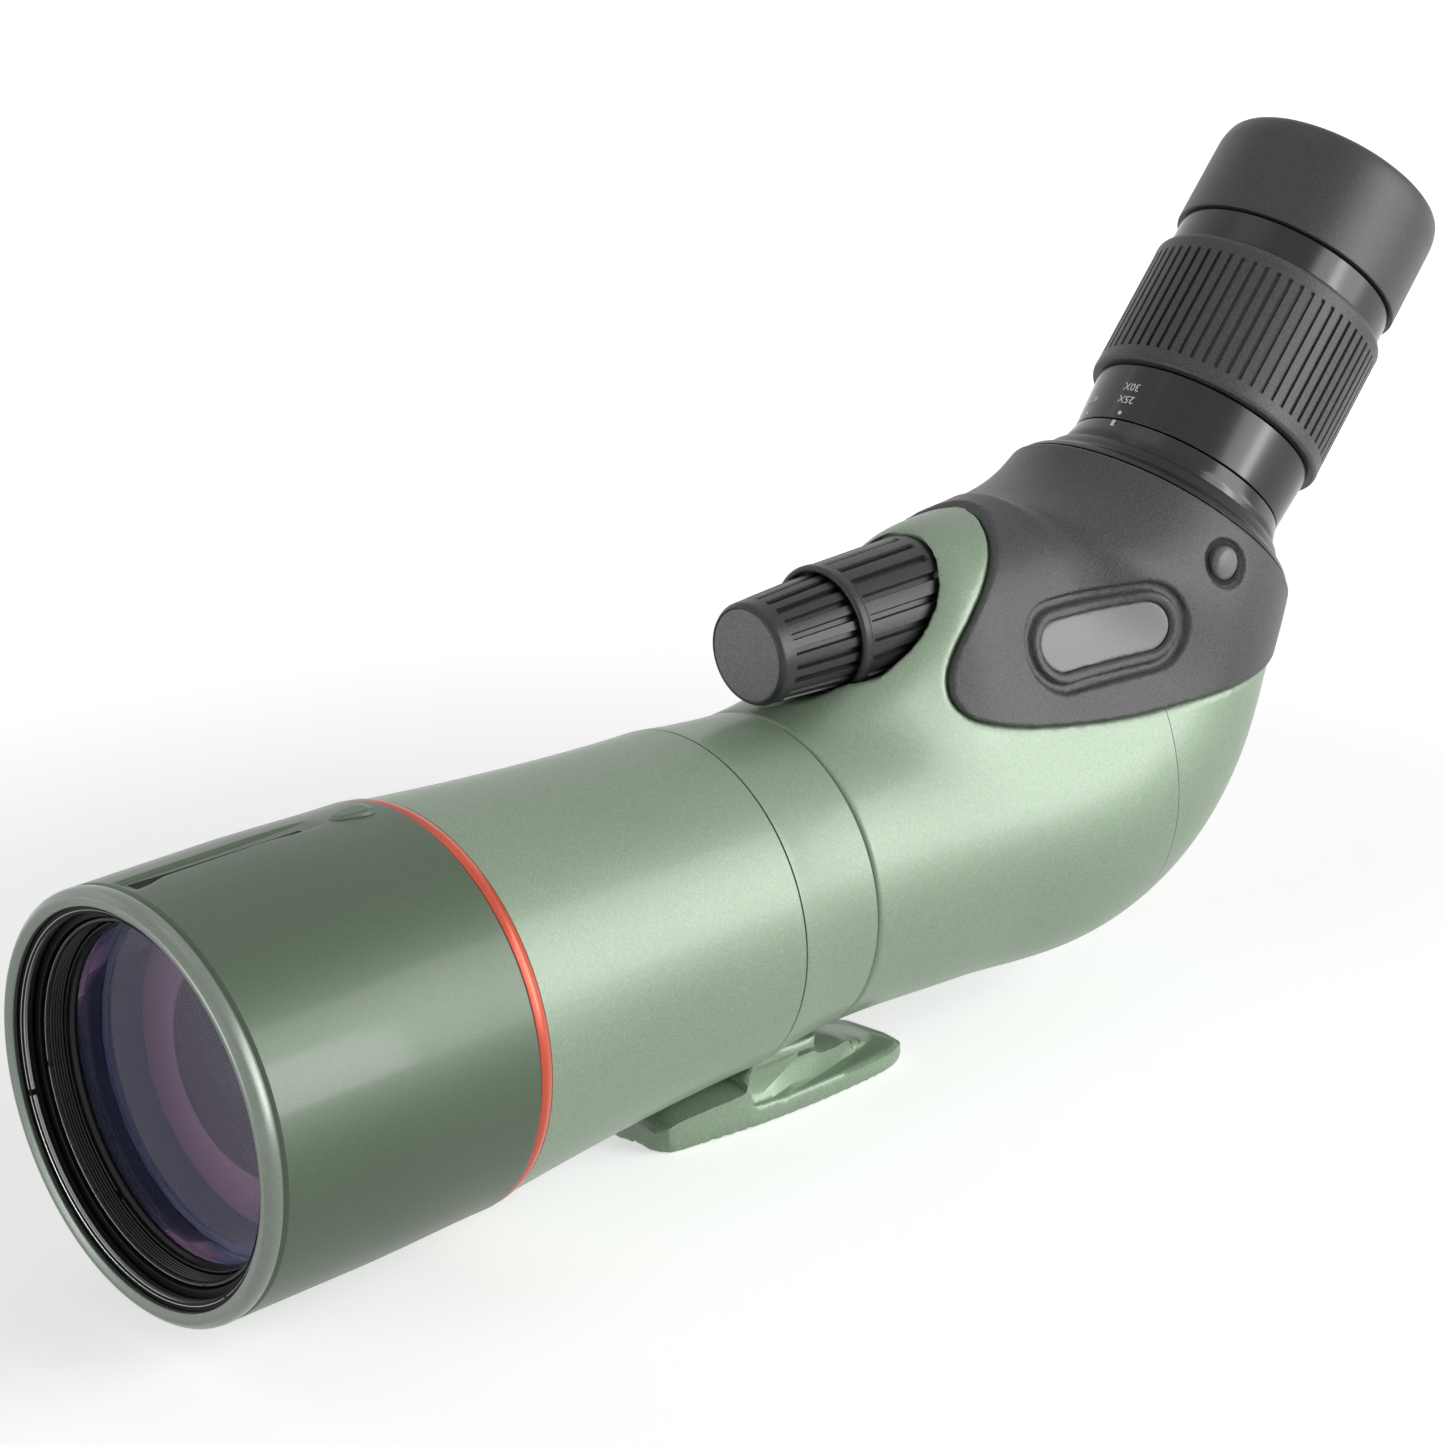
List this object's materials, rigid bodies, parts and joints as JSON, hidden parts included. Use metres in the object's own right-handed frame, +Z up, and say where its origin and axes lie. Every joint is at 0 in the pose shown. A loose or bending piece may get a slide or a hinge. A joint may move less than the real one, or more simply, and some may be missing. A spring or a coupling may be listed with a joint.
{
  "type": "angled spotting scope",
  "caption": "Angled zoom spotting scope with a sliding sunshade, a rotating tripod collar and foot, two focus knobs on top and a bayonet zoom eyepiece.",
  "frame": {"origin": "centre of the tripod foot's flat underside", "axes": "+X towards the view, +Y to the observer's left, +Z up"},
  "size_m": [0.3584, 0.0924, 0.1744],
  "materials": {
    "body_green": "light green metallic paint with a fine speckle",
    "hood_green": "dark green metallic paint",
    "accent_red": "anodised orange red",
    "rubber": "fine grained black rubber",
    "cup_rubber": "soft matt black rubber",
    "knob_black": "grained dark grey",
    "gloss_black": "polished black",
    "satin_black": "satin black anodised",
    "matt_black": "matt black anodised",
    "steel": "bright turned",
    "brass": "turned",
    "nameplate": "bare satin plate",
    "nylon": "natural",
    "coated_glass": "multi-coated, violet reflections",
    "prism_glass": "clear polished"
  },
  "bodies": {
    "collar": {"tripod_collar": "body_green", "collar_liner": "nylon", "tripod_insert": "steel"},
    "clamp_knob": {"collar_clamp_knob": "knob_black"},
    "scope": {"barrel": "body_green", "accent_ring": "accent_red", "rear_baffle": "matt_black", "objective_cell": "matt_black", "objective_retaining_ring": "matt_black", "objective_lens_front": "coated_glass", "objective_lens_middle": "coated_glass", "objective_lens_rear": "coated_glass", "lens_spacer": "matt_black", "prism_housing": "body_green", "rear_cover": "body_green", "armour": "rubber", "badge_plate": "nameplate", "release_spring": "steel", "focus_front_plate": "matt_black", "focus_guide_rod": "steel", "prism_bracket": "matt_black", "roof_prism": "prism_glass", "prism_clip": "steel", "eyepiece_mount": "satin_black"},
    "sunshade_body": {"sunshade": "hood_green", "sunshade_liner": "matt_black"},
    "coarse_knob": {"coarse_focus_knob": "knob_black", "coarse_focus_shaft": "brass"},
    "fine_knob": {"fine_focus_knob": "knob_black", "fine_focus_shaft": "steel"},
    "carriage": {"focus_carriage": "matt_black"},
    "fine_cell": {"focus_cell": "matt_black", "focus_lens": "coated_glass"},
    "release": {"release_button": "knob_black"},
    "bayonet": {"bayonet_ring": "steel"},
    "eyepiece": {"eyepiece_tube": "matt_black", "field_lens": "coated_glass", "index_ring": "gloss_black", "eyepiece_head": "gloss_black", "eye_lens_ring": "matt_black", "eye_lens": "coated_glass"},
    "zoom_ring": {"zoom_scale_sleeve": "gloss_black", "zoom_grip": "rubber"},
    "zoom_front": {"zoom_front_cell": "matt_black", "zoom_front_lens": "coated_glass"},
    "zoom_rear": {"zoom_rear_cell": "matt_black", "zoom_rear_lens": "coated_glass"},
    "cup_lift": {"eyecup_sleeve": "matt_black"},
    "cup": {"eyecup": "cup_rubber"}
  },
  "joints": [
    {"name": "collar_rotation", "type": "hinge", "parent": "collar", "child": "scope", "pos_m": [0, 0, 0.047], "axis": [1, 0, 0], "range_deg": [-90, 90]},
    {"name": "collar_clamp_turn", "type": "hinge", "parent": "collar", "child": "clamp_knob", "pos_m": [0.00345, -0.04, 0.047], "axis": [0, -1, 0], "range_deg": [0, 270]},
    {"name": "sunshade_slide", "type": "slide", "parent": "scope", "child": "sunshade_body", "axis": [1, 0, 0], "range_m": [0, 0.032]},
    {"name": "coarse_focus_turn", "type": "hinge", "parent": "scope", "child": "coarse_knob", "pos_m": [-0.04, 0, 0.0933], "axis": [1, 0, 0], "range_deg": [-360, 360]},
    {"name": "fine_focus_turn", "type": "hinge", "parent": "scope", "child": "fine_knob", "pos_m": [-0.018, 0, 0.0933], "axis": [1, 0, 0], "range_deg": [-360, 360]},
    {"name": "coarse_focus_travel", "type": "slide", "parent": "scope", "child": "carriage", "axis": [1, 0, 0], "range_m": [-0.004, 0.004]},
    {"name": "fine_focus_travel", "type": "slide", "parent": "carriage", "child": "fine_cell", "axis": [1, 0, 0], "range_m": [-0.001, 0.001]},
    {"name": "release_press", "type": "slide", "parent": "scope", "child": "release", "axis": [0, -1, 0], "range_m": [0, 0.0016], "stiffness_N_per_m": 600},
    {"name": "bayonet_turn", "type": "hinge", "parent": "scope", "child": "bayonet", "pos_m": [-0.082, 0, 0.047], "axis": [-0.7071, 0, 0.7071], "range_deg": [0, 40]},
    {"name": "eyepiece_removal", "type": "slide", "parent": "bayonet", "child": "eyepiece", "axis": [-0.7071, 0, 0.7071], "range_m": [0, 0.022]},
    {"name": "zoom_turn", "type": "hinge", "parent": "eyepiece", "child": "zoom_ring", "pos_m": [-0.082, 0, 0.047], "axis": [-0.7071, 0, 0.7071], "range_deg": [0, 120]},
    {"name": "zoom_front_travel", "type": "slide", "parent": "eyepiece", "child": "zoom_front", "axis": [-0.7071, 0, 0.7071], "range_m": [0, 0.008]},
    {"name": "zoom_rear_travel", "type": "slide", "parent": "eyepiece", "child": "zoom_rear", "axis": [-0.7071, 0, 0.7071], "range_m": [-0.006, 0]},
    {"name": "eyecup_lift", "type": "slide", "parent": "eyepiece", "child": "cup_lift", "axis": [-0.7071, 0, 0.7071], "range_m": [0, 0.008]},
    {"name": "eyecup_turn", "type": "hinge", "parent": "cup_lift", "child": "cup", "pos_m": [-0.082, 0, 0.047], "axis": [-0.7071, 0, 0.7071], "range_deg": [0, 90]}
  ],
  "couplings": [
    {"joint": "coarse_focus_turn", "follows": "coarse_focus_travel", "rad_per_m": 1570},
    {"joint": "fine_focus_turn", "follows": "fine_focus_travel", "rad_per_m": 6280},
    {"joint": "zoom_turn", "follows": "zoom_front_travel", "rad_per_m": 261.7},
    {"joint": "zoom_rear_travel", "follows": "zoom_front_travel", "ratio": -0.75},
    {"joint": "eyecup_turn", "follows": "eyecup_lift", "rad_per_m": 196.3}
  ]
}
